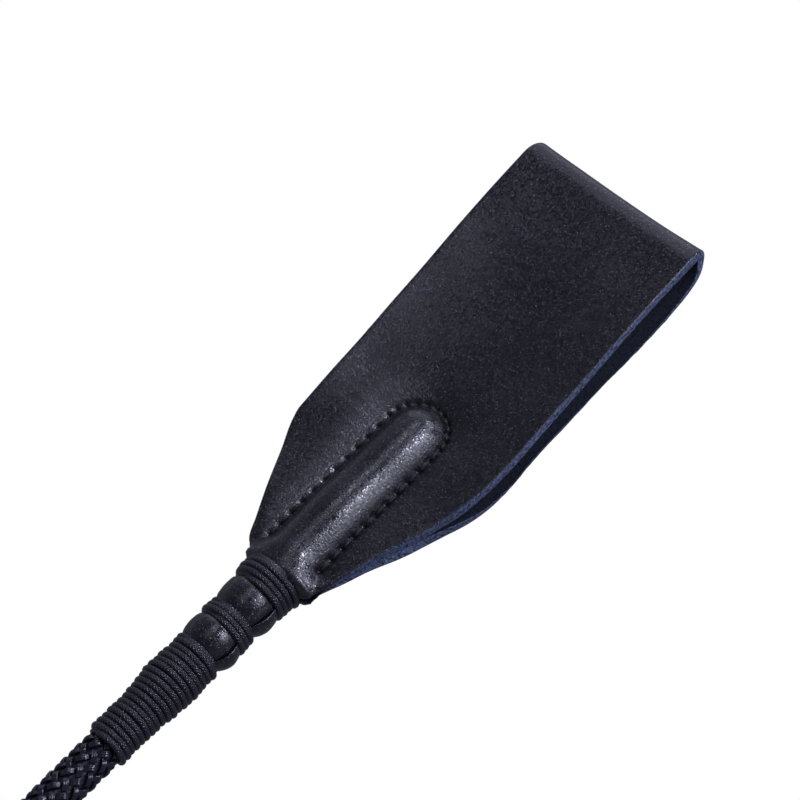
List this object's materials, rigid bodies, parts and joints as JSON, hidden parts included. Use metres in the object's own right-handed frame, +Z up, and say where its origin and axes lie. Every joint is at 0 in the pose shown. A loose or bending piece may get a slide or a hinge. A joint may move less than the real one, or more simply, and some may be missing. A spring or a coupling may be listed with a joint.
{
  "type": "riding crop",
  "caption": "Short riding crop: braided shaft over a rod, wide folded leather keeper sewn and bound on with cord, leather grip, pommel and wrist loop.",
  "frame": {"origin": "centre of the pommel's flat butt face, on the shaft's axis", "axes": "+X along the shaft from the butt to the keeper's folded tip; +Z up, out of the keeper's front face, which carries the seam; +Y to the left, seen from the butt with the front face up"},
  "size_m": [0.6122, 0.0502, 0.0273],
  "materials": {
    "keeper_leather": "semi-matt black, fine pebble grain",
    "grip_leather": "matt black, smooth grain",
    "strap_leather": "matt black",
    "braid": "glossy black filament braid",
    "cord": "waxed black cord",
    "thread": "waxed black thread",
    "fibreglass": "pultruded glass-fibre rod",
    "foam": "moulded foam",
    "rubber": "moulded, matt",
    "steel": "bright nickel plate"
  },
  "bodies": {
    "shaft": {"shaft_core": "fibreglass", "shaft_braid": "braid", "shaft_tip_cap": "rubber", "whipping_front": "cord", "whipping_middle": "cord", "whipping_rear": "cord", "keeper_front_leaf": "keeper_leather", "keeper_rear_leaf": "keeper_leather", "keeper_front_stitching": "thread", "keeper_rear_stitching": "thread", "grip_core": "foam", "grip_cover": "grip_leather", "grip_seam_thread": "thread", "grip_rear_whipping": "cord", "grip_front_whipping": "cord", "grip_nose_whipping": "cord", "pommel": "rubber", "pommel_pin": "steel", "strap_root": "strap_leather"},
    "keeper_flap": {"keeper_loop": "keeper_leather"},
    "wrist_loop": {"wrist_strap": "strap_leather", "strap_rivet": "steel"},
    "slider": {"strap_slider": "strap_leather"}
  },
  "joints": [
    {"name": "keeper_flex", "type": "hinge", "parent": "shaft", "child": "keeper_flap", "pos_m": [0.40375, 0, 0], "axis": [0, 1, 0], "range_deg": [-25, 25], "stiffness_Nm_per_rad": 0.25},
    {"name": "strap_swing", "type": "hinge", "parent": "shaft", "child": "wrist_loop", "pos_m": [-0.00265, 0, 0], "axis": [-0.0523, 0, 0.9986], "range_deg": [-70, 70]},
    {"name": "slider_slide", "type": "slide", "parent": "wrist_loop", "child": "slider", "axis": [-0.9986, 0, -0.0523], "range_m": [-0.016, 0.005]}
  ]
}
